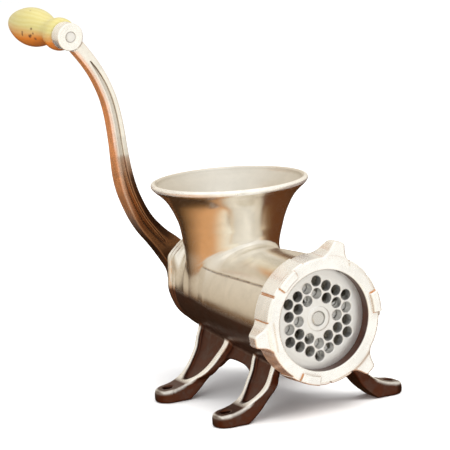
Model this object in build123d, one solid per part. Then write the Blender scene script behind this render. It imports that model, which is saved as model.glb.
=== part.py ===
from build123d import *
import math
import os

os.makedirs("parts", exist_ok=True)

# ---------------------------------------------------------------- dimensions, mm
# Frame: origin at the centre of the four foot holes on the foot plane,
# +X to the front along the barrel, +Y to the machine's left, +Z up.
AXIS_Z = 88.0            # barrel axis above the foot plane
HOPPER_X = -71.0         # hopper axis
RIM_Z = 193.4            # top of the hopper rim
RIM_R = 72.7             # outside of the hopper rim
NECK_R = 44.4            # hopper neck outside
THROAT_R = 38.0          # hopper neck inside

REAR_X = -126.0          # outer face of the rear wall
BOSS_X = -132.0          # rear face of the bearing boss
CROWN_HALF = 39.8        # half width of the rear flange's arched upper part
CHAMBER_X = -117.0       # inner face of the rear wall
CHAMBER_R0 = 35.0        # feed chamber radius at the rear
CHAMBER_R1 = 47.0        # feed chamber radius at the front
CHAMBER_X1 = 54.6        # where the taper ends
SEAT_X = 71.0            # plate seat
MOUTH_X = 78.0           # front end of the barrel
PLATE_BORE_R = 49.7
THREAD_R = 52.9          # thread zone outside
THREAD_X = 67.0          # start of the thread zone
THREAD_PITCH = 4.0

LEG_X = 55.0             # foot holes, half spacing along X
LEG_Y = 85.0             # foot holes, half spacing along Y
FOOT_HALF = 12.5         # half width of a foot
FOOT_TIP_Y = 85.0        # centre of the rounded foot end
FOOT_HOLE_R = 4.5
RIB_H = 3.0              # rib height over the leg panel

RING_X0 = 67.4           # rear edge of the ring
RING_X1 = 91.4           # front face of the ring
RING_R = 56.9            # at the front
RING_R0 = 57.8           # at the rear
RING_BORE_R = 53.3
RING_OPEN_R = 45.6
RING_LIP_X = 80.3        # inner face of the lip
LUG_R = 71.0
LUG_BACK = 78.0          # rear edge of a lug at its tip
LUG_ANGLES = (74.0, 187.5, 311.0)
PAD_ANGLES = (10.0, 130.8, 251.0)
PAD_SPAN = 20.0          # raised block on the face
PAD_FACE = 3.0
PAD_R0 = 50.0            # inner edge of a block
LANDS = ((-78.0, -38.6), (-36.4, -14.5))  # raised lands on the side, from each lug
PAD_SIDE = 1.4

PLATE_R = 49.5
PLATE_T = 9.0
PLATE_HOLE_R = 4.75
PLATE_PITCH = 11.4
PILOT_HOLE_R = 6.75
KEY_ANGLE = 60.0
KEY_R = 2.0

SHAFT_R = 11.0
BUSH_R = 15.0
BUSH_BORE_R = 11.06
FLIGHT_PITCH = 42.0
FLIGHT_T = 6.0
FLIGHT_GAP = 1.0

KNIFE_R = 45.6
KNIFE_X0 = 57.6
KNIFE_X1 = 70.7
SQUARE = 14.0            # knife square across flats
PILOT_R = 6.7

HUB_X0 = -133.0
HUB_X1 = -161.0
HUB_R = 22.0
DRIVE_FLAT = 8.5         # half distance across the drive flats
SHAFT_END = -159.0
ARM_T = 13.0             # arm thickness along X, upper part
ARM_GROW = 4.5           # added behind the lower part
GROOVE = 0.28            # groove half width over arm half width
GROOVE_D = 2.6
ARM_X_ROOT = -146.0
ARM_X_END = -163.0
ARM_Z0 = 6.0             # the arm bows back between these heights above the axis
ARM_Z1 = 90.0
GRIP_Y = -112.6
GRIP_Z = 243.4           # above the barrel axis
EYE_R = 13.0
EYE_X0 = -155.0          # front face of the eye
EYE_X1 = -169.5          # rear face of the eye
LEAN = 2.0               # the grip rises this many degrees to the rear
PIN_R = 4.5
GRIP_X0 = -171.0
GRIP_LEN = 106.0
SCREW_R = 5.0

AX = Axis((0, 0, AXIS_Z), (1, 0, 0))


def spin_x(pts):
    """Solid of revolution about the barrel axis from (x, radius) points."""
    face = make_face(Polyline(*[(x, AXIS_Z + r) for x, r in pts], close=True))
    return revolve(Plane.XZ * face, AX, 360)


def disc_x(x0, x1, r, y=0.0, z=AXIS_Z):
    """Round bar along X between x0 and x1."""
    return Pos((x0 + x1) / 2, y, z) * Rot(0, 90, 0) * Cylinder(r, abs(x1 - x0))


def polar(angle, r):
    """Point at an angle from +Y towards +Z about the barrel axis."""
    a = math.radians(angle)
    return r * math.cos(a), AXIS_Z + r * math.sin(a)


def save(name, shape):
    solids = shape.solids()
    body = solids[0] if len(solids) == 1 else shape
    print(name, "solids", len(solids), "volume", round(body.volume), "valid", body.is_valid)
    export_step(body, f"parts/{name}.step")


# ---------------------------------------------------------------- body casting
barrel_pts = [
    (BOSS_X, 0), (BOSS_X, 19.0), (BOSS_X + 1.5, 20.5), (REAR_X, 20.5), (REAR_X, 31.0),
    (-127.8, 33.2), (-128.8, 35.6), (-128.4, 37.6), (-127.0, 38.7), (-125.2, 38.8), (-123.9, 37.9), (-122.7, 38.5), (-121.0, 39.4), (-119.2, 39.4),
    (-117.9, 38.7), (-116.7, 39.6), (-113.0, 40.9), (-108.0, 41.7), (-101.0, 42.3), (HOPPER_X, 44.4), (-6.4, 49.6), (59.0, 53.2),
    (THREAD_X, 53.2), (THREAD_X, THREAD_R),
]
for i in range(2):
    g = THREAD_X + 1.4 + THREAD_PITCH * i
    barrel_pts += [(g, THREAD_R), (g + 1.0, THREAD_R - 1.1), (g + 1.8, THREAD_R - 1.1), (g + 2.8, THREAD_R)]
barrel_pts += [(MOUTH_X - 0.5, THREAD_R), (MOUTH_X, THREAD_R - 0.5), (MOUTH_X, 0)]
barrel_outer = spin_x(barrel_pts)

# the beaded rear flange is arched: straight sides below, a raised round top
crown_ring = spin_x([
    (-131.2, 30.0), (-131.2, 47.0), (-130.2, 48.6), (-128.6, 48.8), (-127.6, 47.7), (-126.9, 47.7), (-125.9, 48.5), (-124.3, 48.3), (-123.3, 47.1),
    (-122.6, 47.1), (-121.6, 47.6), (-120.0, 47.1), (-118.0, 45.4), (-115.0, 43.0), (-112.0, 41.0), (-112.0, 30.0),
])
crown_span = Pos(-121.0, 0, AXIS_Z + 32.0) * Box(26.0, 2 * CROWN_HALF, 60.0)

chamber = spin_x([
    (CHAMBER_X, 0), (CHAMBER_X, CHAMBER_R0), (CHAMBER_X1, CHAMBER_R1), (SEAT_X, CHAMBER_R1),
    (SEAT_X, PLATE_BORE_R), (MOUTH_X + 1, PLATE_BORE_R), (MOUTH_X + 1, 0),
]) + disc_x(BOSS_X - 1, CHAMBER_X + 1, BUSH_R)


def hopper_face(curve_pts, tail_pts):
    curve = Spline(*[(HOPPER_X + r, z) for r, z in curve_pts])
    rest = Polyline(*[(HOPPER_X + r, z) for r, z in [curve_pts[-1]] + tail_pts + [curve_pts[0]]])
    return Plane.XZ * make_face(curve + rest)


HOP_AXIS = Axis((HOPPER_X, 0, 0), (0, 0, 1))
hopper_outer = revolve(hopper_face(
    [(NECK_R, 130.0), (45.1, 137.0), (46.5, 146.0), (48.6, 155.0), (52.4, 165.7), (57.2, 174.6), (63.2, 181.8), (70.2, 186.6)],
    [(72.0, 186.8), (RIM_R, 187.6), (RIM_R, RIM_Z - 1.2), (RIM_R - 1.2, RIM_Z), (0, RIM_Z), (0, AXIS_Z), (NECK_R, AXIS_Z)]),
    HOP_AXIS, 360)
hopper_inner = revolve(hopper_face(
    [(THROAT_R, 130.0), (39.2, 138.0), (41.0, 147.0), (43.2, 156.0), (47.2, 167.0), (52.2, 176.0), (58.4, 183.4), (65.4, 189.0)],
    [(67.2, RIM_Z - 1.0), (68.2, RIM_Z + 1), (0, RIM_Z + 1), (0, AXIS_Z), (THROAT_R, AXIS_Z)]),
    HOP_AXIS, 360)

# One side of the base in the Y-Z view: the outer curve runs down the barrel's
# flank and sweeps out to the foot. The web between the legs hangs straighter.
OUTER = [(35.4, 66.0), (35.5, 61.0), (36.3, 56.0), (38.3, 50.0), (41.9, 42.0), (45.3, 37.0), (50.8, 31.0), (56.0, 26.0), (61.5, 21.8),
         (67.6, 18.0), (74.3, 15.0), (81.5, 13.0), (88.5, 12.0)]
INNER = [(67.5, 0.0), (60.5, 5.2), (53.0, 12.0), (48.2, 18.0), (44.4, 23.5), (40.6, 29.0), (36.8, 34.5), (33.4, 40.0), (31.0, 46.0), (29.5, 54.0), (29.0, 66.0)]
WEB_OUT = [(32.4, 66.0), (32.6, 56.0), (34.3, 47.0), (38.0, 39.0), (43.0, 31.5), (49.0, 25.0)]
WEB_IN = [(36.0, 25.0), (32.0, 31.0), (29.6, 36.0), (26.6, 46.0), (26.0, 66.0)]


def shifted(pts, d):
    """The curve moved d along its normal, towards the machine's middle."""
    out = []
    for i, (y, z) in enumerate(pts):
        a = pts[max(i - 1, 0)]
        b = pts[min(i + 1, len(pts) - 1)]
        ty, tz = b[0] - a[0], b[1] - a[1]
        n = math.hypot(ty, tz)
        out.append((y + d * tz / n, z - d * ty / n))
    return out


def yz_prism(edges, x0, x1):
    return extrude(Plane.YZ.offset(x0) * make_face(edges), x1 - x0)


def xz_prism(pts, y0, y1):
    """Prism over an X-Z outline, from y0 to y1; straight sides."""
    return extrude(Plane.XZ.offset(-y1) * make_face(Polyline(*pts, close=True)), y1 - y0)


TIP = [(95.0, 10.4), (97.6, 7.0), (97.6, 1.5), (96.4, 0.0)]
panel_curve = shifted(OUTER, RIB_H)
band_full = yz_prism(
    Spline(*OUTER) + Polyline(OUTER[-1], *TIP, INNER[0]) + Spline(*INNER) + Polyline(INNER[-1], OUTER[0]),
    -95, 75)
recess = yz_prism(
    Spline(*panel_curve) + Polyline(panel_curve[-1], (panel_curve[-1][0], 40.0), (90.0, 75.0), (20.0, 75.0), panel_curve[0]), -95, 75)

web_band = yz_prism(
    Spline(*WEB_OUT) + Polyline(WEB_OUT[-1], WEB_IN[0]) + Spline(*WEB_IN) + Polyline(WEB_IN[-1], WEB_OUT[0]), -95, 75)

REAR_LEG = [(-82.3, 66), (-82.5, 60), (-83.2, 49), (-79, 38), (-75, 30), (-71, 23.6), (-68.4, 18.6), (-67.5, 14), (-67.5, -1), (-42.5, -1),
            (-42.2, 14), (-39.6, 18.8), (-35.5, 22), (-32.8, 25.8), (-30.6, 30.7), (-28.2, 40), (-23.4, 48), (-21.8, 55), (-21.8, 66)]
REAR_PANEL = [(-76.3, 76), (-76.6, 60), (-77.2, 49), (-73, 38), (-69, 30), (-65, 23.6), (-61.4, 19.8), (-56.6, 17.2), (-52.6, 17.4), (-48, 19.2),
              (-44, 22), (-41.3, 25.8), (-39, 30.7), (-36.6, 40), (-31.4, 49), (-30, 56), (-30, 76)]
FRONT_LEG = [(23.5, 66), (23.5, 54.6), (24.5, 44), (29.5, 34), (33.5, 28), (38.4, 22.8), (41.8, 18), (42.5, 14), (42.5, -1), (67.5, -1),
             (67.5, 14), (68.7, 19.3), (71.5, 25), (73.2, 30), (73.6, 34), (72.6, 37), (69.6, 41), (66.3, 45), (66.3, 66)]
FRONT_PANEL = [(29.5, 76), (29.5, 54.6), (30.5, 44), (35.5, 34), (39.5, 28), (44.4, 23), (51.4, 17.6), (56.4, 17.4), (61.2, 20), (64, 25),
               (65.4, 30), (65.6, 33.4), (64.6, 36.6), (62, 41), (59.6, 46), (59.6, 76)]
WEB = [(-60, 66), (-60, 46), (-46, 22), (-38.5, 27), (-33, 33), (-26, 36.4), (-16, 38), (0, 38), (12, 36.6), (22, 33),
       (30, 27.5), (38, 22), (50, 46), (50, 66)]

legs_region = xz_prism(REAR_LEG, 0, 120) + xz_prism(FRONT_LEG, 0, 120)
panels_region = xz_prism(REAR_PANEL, 0, 120) + xz_prism(FRONT_PANEL, 0, 120)
web_region = xz_prism(WEB, 0, 120)
plan = Pos(0, FOOT_TIP_Y / 2, 40) * Box(200, FOOT_TIP_Y, 100)
for sx in (-1, 1):
    plan = plan + Pos(sx * LEG_X, FOOT_TIP_Y, 40) * Cylinder(FOOT_HALF, 100)

legs = (band_full & legs_region & plan) - (panels_region & recess)
web = web_band & web_region
# room behind the ring for its lugs to pass
ring_room = spin_x([(66.8, 50.0), (66.8, 62.0), (78.4, 73.6), (100.0, 73.6), (100.0, 50.0)])
side = (legs + web) - ring_room
for sx in (-1, 1):
    side = side - Pos(sx * LEG_X, LEG_Y, 10) * Cylinder(FOOT_HOLE_R, 60)
other = mirror(side, Plane.XZ)

key_y, key_z = polar(KEY_ANGLE, 49.4)
key_pin_shape = Pos(SEAT_X + 4.6, key_y, key_z) * Rot(KEY_ANGLE - 90, 0, 0) * Cylinder(KEY_R, 6.0)

casting = barrel_outer + (crown_ring & crown_span) + hopper_outer + side + other
casting = casting - chamber - hopper_inner - key_pin_shape
save("body_casting", casting)

# ---------------------------------------------------------------- fixed small pieces
save("rear_bush", disc_x(BOSS_X, CHAMBER_X, BUSH_R) - disc_x(BOSS_X - 1, CHAMBER_X + 1, BUSH_BORE_R))
save("plate_key_pin", key_pin_shape)

# ---------------------------------------------------------------- grinding plate
plate = disc_x(SEAT_X, SEAT_X + PLATE_T, PLATE_R) + disc_x(SEAT_X + PLATE_T, SEAT_X + PLATE_T + 0.8, 11.0)
holes = []
for q in range(-3, 4):
    for s in range(-3, 4):
        ring_no = max(abs(q), abs(s), abs(q + s))
        if ring_no in (2, 3):
            hy = PLATE_PITCH * math.sqrt(3) / 2 * q
            hz = PLATE_PITCH * (s + q / 2)
            holes.append(disc_x(SEAT_X - 1, SEAT_X + PLATE_T + 2, PLATE_HOLE_R, hy, AXIS_Z + hz))
plate = plate - holes
plate = plate - disc_x(SEAT_X - 1, SEAT_X + PLATE_T + 2, PILOT_HOLE_R)
ny, nz = polar(KEY_ANGLE, 50.0)
plate = plate - Pos(SEAT_X + PLATE_T / 2, ny, nz) * Rot(KEY_ANGLE - 90, 0, 0) * Box(PLATE_T + 4, 2 * KEY_R + 0.8, 8.4)
save("grinding_plate", plate)

# ---------------------------------------------------------------- ring nut
ring = spin_x([
    (RING_X0, RING_BORE_R + 0.8), (RING_X0, RING_R0 - 1.2), (RING_X0 + 1.2, RING_R0), (RING_X1 - 1.8, RING_R),
    (RING_X1, RING_R - 1.8), (RING_X1, RING_OPEN_R + 1.2), (RING_X1 - 1.2, RING_OPEN_R), (RING_LIP_X, RING_OPEN_R),
    (RING_LIP_X, RING_BORE_R), (RING_X0 + 0.8, RING_BORE_R),
])
lug_half = [(12.2, 56.6), (9.8, 59.6), (8.4, 62.0), (6.2, 68.6), (4.8, 70.5), (3.2, LUG_R)]
lug_pts = [(-u, r) for u, r in lug_half] + lug_half[::-1]
lug = extrude(Plane.YZ.offset(RING_X0 + 0.3) * make_face(Polyline(*lug_pts, close=True)), RING_X1 - RING_X0 - 0.7)
lug_slope = extrude(Plane.XZ.offset(-30) * make_face(Polyline(
    (RING_X0 - 2, 58.6), (LUG_BACK, LUG_R), (LUG_BACK + 2, LUG_R + 2), (RING_X0 - 2, LUG_R + 2), close=True)), 60)
lug = lug - lug_slope
for a in LUG_ANGLES:
    ring = ring + Pos(0, 0, AXIS_Z) * Rot(a - 90, 0, 0) * lug
land_ring = spin_x([
    (RING_X0 + 0.8, RING_R0 - 2.0), (RING_X0 + 0.8, RING_R0 + PAD_SIDE - 0.6), (RING_X0 + 1.4, RING_R0 + PAD_SIDE),
    (RING_X1 - 1.2, RING_R + PAD_SIDE), (RING_X1 - 0.6, RING_R + PAD_SIDE - 0.8), (RING_X1 - 0.6, RING_R - 2.5),
])
block_ring = spin_x([
    (RING_X1 - 1.5, PAD_R0), (RING_X1 + PAD_FACE - 0.4, PAD_R0), (RING_X1 + PAD_FACE, PAD_R0 + 0.4), (RING_X1 + PAD_FACE, RING_R + PAD_SIDE - 1.4),
    (RING_X1 + PAD_FACE - 1.4, RING_R + PAD_SIDE), (RING_X1 - 1.5, RING_R + PAD_SIDE),
])


def wedge(a0, a1):
    """Sector between two angles about the barrel axis, as long as the ring."""
    (y0, z0), (y1, z1) = polar(a0, 80.0), polar(a1, 80.0)
    return extrude(Plane.YZ.offset(RING_X0 - 2) * make_face(Polyline((0, AXIS_Z), (y0, z0), (y1, z1), close=True)), 40)


for a in LUG_ANGLES:
    for a0, a1 in LANDS:
        ring = ring + (land_ring & wedge(a + a0, a + a1))
for a in PAD_ANGLES:
    ring = ring + (block_ring & wedge(a - PAD_SPAN / 2, a + PAD_SPAN / 2))
save("ring_nut", ring)

# ---------------------------------------------------------------- feed screw
AUGER_X0 = -114.7        # rear shoulder
AUGER_X1 = 56.2          # front face
core = spin_x([
    (SHAFT_END, 0), (SHAFT_END, SHAFT_R - 1.0), (SHAFT_END + 1.0, SHAFT_R), (AUGER_X0, SHAFT_R), (AUGER_X0, 25.0),
    (AUGER_X0 + 4.0, 27.0), (AUGER_X0 + 8.0, 20.0), (-98.0, 15.0), (36.0, 17.5), (AUGER_X1 - 2, 18.5), (AUGER_X1, 17.0), (AUGER_X1, 0),
])
helix = Helix(pitch=FLIGHT_PITCH, height=157.0, radius=30.0, center=(-106.0, 0, AXIS_Z), direction=(1, 0, 0), lefthand=True)
start = helix @ 0
radial = Vector(0, start.Y, start.Z - AXIS_Z).normalized()
flight_plane = Plane(origin=start, x_dir=radial, z_dir=helix % 0)
flight = sweep(flight_plane * make_face(Polyline(
    (-18, -FLIGHT_T / 2 - 1.5), (22, -FLIGHT_T / 2 + 0.8), (22, FLIGHT_T / 2 - 0.8), (-18, FLIGHT_T / 2 + 1.5), close=True)),
    path=helix, is_frenet=True)
slope = (CHAMBER_R1 - CHAMBER_R0) / (CHAMBER_X1 - CHAMBER_X)
envelope = spin_x([
    (AUGER_X0 + 2, 0), (AUGER_X0 + 2, CHAMBER_R0 + slope * (AUGER_X0 + 2 - CHAMBER_X) - FLIGHT_GAP),
    (AUGER_X1 - 1, CHAMBER_R0 + slope * (AUGER_X1 - 1 - CHAMBER_X) - FLIGHT_GAP), (AUGER_X1 - 1, 0),
])
auger = core + (flight & envelope)
flat = Pos((SHAFT_END + HUB_X0) / 2 - 1, 0, AXIS_Z + DRIVE_FLAT + 10) * Box(HUB_X0 - SHAFT_END + 2, 40, 20)
auger = auger - flat - mirror(flat, Plane.XY.offset(AXIS_Z))
auger = auger - disc_x(SHAFT_END - 1, SHAFT_END + 26, SCREW_R)
auger = auger - disc_x(AUGER_X1 - 24, AUGER_X1 + 1, 7.0)
save("auger", auger)

stud = disc_x(AUGER_X1 - 24, AUGER_X1, 7.0) + Pos((AUGER_X1 + KNIFE_X1) / 2, 0, AXIS_Z) * Box(KNIFE_X1 - AUGER_X1 - 0.2, SQUARE - 0.2, SQUARE - 0.2)
stud = stud + spin_x([(AUGER_X1, 0), (AUGER_X1, PILOT_R), (SEAT_X + 8.2, PILOT_R), (SEAT_X + 9.6, PILOT_R - 1.4), (SEAT_X + 9.6, 0)])
save("auger_stud", stud)

save("thrust_washer", disc_x(AUGER_X0 - 2.0, AUGER_X0, 23.0) - disc_x(AUGER_X0 - 3, AUGER_X0 + 1, SHAFT_R + 0.2))

# ---------------------------------------------------------------- knife
blade_face = make_face(
    Polyline((-2.0, 6.0), (-2.0, KNIFE_R - 1.0), (13.0, KNIFE_R - 3.0)) + Spline((13.0, KNIFE_R - 3.0), (9.0, 30.0), (12.0, 17.0), (14.0, 6.0))
    + Polyline((14.0, 6.0), (-2.0, 6.0)))
blade = extrude(Plane.YZ.offset(KNIFE_X0 + 2) * blade_face, KNIFE_X1 - KNIFE_X0 - 2)
blade = blade - Pos(KNIFE_X0 - 1.5, 14.0, 31.5) * Rot(0, 0, -32) * Box(16, 26, 31)
knife = disc_x(KNIFE_X0, KNIFE_X1, 16.0)
for i in range(4):
    knife = knife + Pos(0, 0, AXIS_Z) * Rot(90 * i + 20, 0, 0) * blade
knife = knife & disc_x(KNIFE_X0, KNIFE_X1, KNIFE_R)
knife = knife - Pos((KNIFE_X0 + KNIFE_X1) / 2, 0, AXIS_Z) * Box(30, SQUARE, SQUARE)
save("knife", knife)

# ---------------------------------------------------------------- crank
# Centre line of the arm in the Y-Z plane from the hub to the eye, with half widths.
ARM = [(0.0, 0.0, 15.0), (-14.2, 17.5, 14.6), (-25.9, 32.8, 12.6), (-34.9, 43.1, 10.4), (-44.4, 55.3, 9.4), (-50.2, 65.9, 8.8),
       (-55.2, 78.5, 8.3), (-59.9, 92.6, 7.9), (-63.4, 107.4, 7.6), (-65.8, 123.1, 7.3), (-67.3, 136.6, 7.1), (-68.8, 151.0, 6.9),
       (-71.0, 166.0, 6.7), (-74.3, 180.4, 6.6), (-79.0, 193.2, 6.5), (-85.3, 206.3, 6.4), (-93.1, 218.7, 6.4), (-102.3, 230.9, 6.5), (GRIP_Y, GRIP_Z, 6.6)]


def arm_prism(widths, first, x0, x1):
    """Prism over the arm's outline with the given half widths, starting at point first."""
    left, right = [], []
    for i, w in enumerate(widths, first):
        a, b = ARM[max(i - 1, 0)], ARM[min(i + 1, len(ARM) - 1)]
        ty, tz = b[0] - a[0], b[1] - a[1]
        n = math.hypot(ty, tz)
        y, z = ARM[i][:2]
        left.append((y - w * tz / n, AXIS_Z + z + w * ty / n))
        right.append((y + w * tz / n, AXIS_Z + z - w * ty / n))
    edges = Spline(*left) + Polyline(left[-1], right[-1]) + Spline(*right[::-1]) + Polyline(right[0], left[0])
    return yz_prism(edges, x0, x1)


def arm_x(z):
    t = min(max((z - ARM_Z0) / (ARM_Z1 - ARM_Z0), 0), 1)
    return ARM_X_ROOT + (ARM_X_END - ARM_X_ROOT) * (3 * t * t - 2 * t ** 3)


def arm_extra(z):
    t = min(max((z - 92) / 46, 0), 1)
    return ARM_GROW * (1 - 3 * t * t + 2 * t ** 3)


def arm_slab(lo, hi):
    """Slab that follows the arm's bow, between two offsets along X."""
    zs = [-30, -12, 0, 8, 16, 26, 37, 48, 59, 70, 80, 88, 96, 104, 113, 122, 131, 140, 155, 190, 230, 270]
    a = [(arm_x(z) + lo - (arm_extra(z) if lo < 0 else 0), AXIS_Z + z) for z in zs]
    b = [(arm_x(z) + hi - (arm_extra(z) if hi < 0 else 0), AXIS_Z + z) for z in zs]
    edges = Spline(*a) + Polyline(a[-1], b[-1]) + Spline(*b[::-1]) + Polyline(b[0], a[0])
    return extrude(Plane.XZ.offset(-40) * make_face(edges), 240)


arm = arm_prism([w for _, _, w in ARM], 0, -200, -120) & arm_slab(-ARM_T / 2, ARM_T / 2)
groove_ends = {3: 0.25, 4: 0.75, 15: 0.7, 16: 0.25}
groove = arm_prism([GROOVE * ARM[i][2] * groove_ends.get(i, 1.0) for i in range(3, 17)], 3, -200, -120)
arm = arm - (groove & arm_slab(ARM_T / 2 - GROOVE_D, ARM_T / 2 + 9)) - (groove & arm_slab(-ARM_T / 2 - 9, -ARM_T / 2 + GROOVE_D))
hub = spin_x([(HUB_X1, 0), (HUB_X1, HUB_R - 1.5), (HUB_X1 + 1.5, HUB_R), (HUB_X0 - 1.5, HUB_R), (HUB_X0, HUB_R - 1.5), (HUB_X0, 0)])
GZ = AXIS_Z + GRIP_Z
lean = Pos(EYE_X0, GRIP_Y, GZ) * Rot(0, LEAN, 0) * Pos(-EYE_X0, -GRIP_Y, -GZ)
eye = lean * disc_x(EYE_X1, EYE_X0, EYE_R, GRIP_Y, GZ)
crank = arm + hub + eye
drive = disc_x(HUB_X1 - 1, HUB_X0 + 1, SHAFT_R + 0.04) & (Pos((HUB_X0 + HUB_X1) / 2, 0, AXIS_Z) * Box(60, 60, 2 * (DRIVE_FLAT + 0.04)))
crank = crank - drive - lean * disc_x(EYE_X1 - 6, EYE_X1, 22.0, GRIP_Y, GZ) - lean * disc_x(EYE_X1 - 2, EYE_X0 + 2, PIN_R, GRIP_Y, GZ)
save("crank_arm", crank)

save("crank_washer", disc_x(HUB_X1 - 2.0, HUB_X1, 14.0) - disc_x(HUB_X1 - 3, HUB_X1 + 1, SCREW_R + 0.4))

WING_X = HUB_X1 - 2.0
screw = spin_x([(WING_X - 8.0, 0), (WING_X - 8.0, 6.5), (WING_X - 4.0, 8.0), (WING_X, 9.5), (WING_X, SCREW_R), (SHAFT_END + 22.0, SCREW_R), (SHAFT_END + 24.0, SCREW_R - 1.5), (SHAFT_END + 24.0, 0)])
wing_edges = Spline((WING_X - 3.0, 0.0), (WING_X - 4.0, 10.0), (WING_X - 9.0, 19.0), (WING_X - 17.0, 22.0), (WING_X - 21.0, 18.0), (WING_X - 18.0, 10.0), (WING_X - 11.0, 4.0), (WING_X - 9.0, 0.0)) + Polyline((WING_X - 9.0, 0.0), (WING_X - 3.0, 0.0))
wing = Pos(0, 0, AXIS_Z) * extrude(Plane.XZ.offset(-2.2) * make_face(wing_edges), 4.4)
screw = screw + wing + mirror(wing, Plane.XY.offset(AXIS_Z))
save("crank_screw", screw)

# ---------------------------------------------------------------- grip
GRIP_AXIS = Axis((0, GRIP_Y, GZ), (1, 0, 0))
grip_curve = [(0.0, 12.8), (1.6, 14.1), (4.2, 15.1), (8.0, 15.5), (11.5, 15.2), (15.5, 14.1), (20.0, 12.7), (24.0, 11.7), (28.0, 11.4), (32.0, 11.9),
              (37.5, 13.5), (43.5, 15.4), (50.0, 17.0), (57.0, 18.1), (64.0, 18.4), (71.0, 18.0), (78.0, 16.9), (85.0, 15.2), (92.0, 13.2),
              (98.0, 11.0), (102.5, 8.9), (104.8, 7.6), (GRIP_LEN, 6.8)]
gp = [(GRIP_X0 - s, GZ + r) for s, r in grip_curve]
grip_face = Plane.XZ.offset(-GRIP_Y) * make_face(
    Spline(*gp) + Polyline(gp[-1], (GRIP_X0 - GRIP_LEN, GZ), (GRIP_X0, GZ), gp[0]))
grip = revolve(grip_face, GRIP_AXIS, 360)
HEAD_X = GRIP_X0 - GRIP_LEN + 5.0
grip = grip - disc_x(GRIP_X0 - GRIP_LEN - 1, GRIP_X0 + 1, PIN_R + 0.06, GRIP_Y, GZ)
grip = grip - disc_x(GRIP_X0 - GRIP_LEN - 1, HEAD_X + 0.3, 6.2, GRIP_Y, GZ)
save("grip", lean * grip)

save("grip_washer", lean * (disc_x(EYE_X1 - 1.2, EYE_X1, 11.0, GRIP_Y, GZ) - disc_x(EYE_X1 - 3, EYE_X1 + 1, PIN_R + 0.1, GRIP_Y, GZ)))
save("grip_end_washer", lean * (disc_x(HEAD_X - 1.0, HEAD_X, 5.8, GRIP_Y, GZ) - disc_x(HEAD_X - 3, HEAD_X + 3, PIN_R + 0.1, GRIP_Y, GZ)))
pin = disc_x(HEAD_X - 3.4, EYE_X0, PIN_R, GRIP_Y, GZ)
pin = pin + disc_x(HEAD_X - 3.4, HEAD_X - 1.0, 5.6, GRIP_Y, GZ) + disc_x(EYE_X0, EYE_X0 + 0.8, PIN_R - 0.7, GRIP_Y, GZ)
save("grip_pin", lean * pin)
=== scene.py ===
import math

import bpy
import numpy as np
from mathutils import Matrix, Vector


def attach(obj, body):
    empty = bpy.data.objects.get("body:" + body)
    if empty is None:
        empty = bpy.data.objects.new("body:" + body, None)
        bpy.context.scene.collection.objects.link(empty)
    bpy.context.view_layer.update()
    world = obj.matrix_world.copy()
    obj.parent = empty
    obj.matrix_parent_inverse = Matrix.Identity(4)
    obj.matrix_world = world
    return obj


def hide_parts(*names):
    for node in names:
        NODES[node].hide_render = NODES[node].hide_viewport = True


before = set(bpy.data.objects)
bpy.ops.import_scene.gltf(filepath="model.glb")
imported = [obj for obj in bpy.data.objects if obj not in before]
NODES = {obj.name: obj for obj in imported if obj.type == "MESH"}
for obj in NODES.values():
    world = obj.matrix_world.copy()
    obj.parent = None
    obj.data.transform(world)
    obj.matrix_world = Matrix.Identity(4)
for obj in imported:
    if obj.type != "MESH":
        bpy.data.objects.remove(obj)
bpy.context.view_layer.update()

# ------------------------------------------------------------------ main sizes, mm
AXIS_Z = 88.0
HOPPER_X = -71.0
RIM_Z = 193.4
RIM_R = 72.7
NECK_R = 44.4
THROAT_R = 38.0
LEG_X = 55.0
LEG_Y = 85.0
FOOT_TIP_Y = 85.0
FOOT_HALF = 12.5
GRIP_Y = -112.6
GRIP_Z = 243.4
EYE_X = -155.0
LEAN = math.radians(2.0)
F = np.float32


# ------------------------------------------------------------------ distance fields
def smin(a, b, k):
    """Smooth union: the two shapes blend with a fillet of about k."""
    h = np.maximum(k - np.abs(a - b), 0) / k
    return np.minimum(a, b) - h * h * (k * 0.25)


def smax(a, b, k):
    """Smooth intersection: edges are rounded by about k."""
    return -smin(-a, -b, k)


def curve(pts, n=8):
    """Smooth open curve through the points (Catmull-Rom), n steps per span."""
    p = np.array([pts[0]] + list(pts) + [pts[-1]], float)
    out = []
    for i in range(1, len(p) - 2):
        for j in range(n):
            t = j / n
            a, b, c, d = p[i - 1], p[i], p[i + 1], p[i + 2]
            out.append(0.5 * ((2 * b) + (c - a) * t + (2 * a - 5 * b + 4 * c - d) * t * t + (3 * b - a - 3 * c + d) * t ** 3))
    out.append(p[-2])
    return [tuple(q) for q in out]


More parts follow.
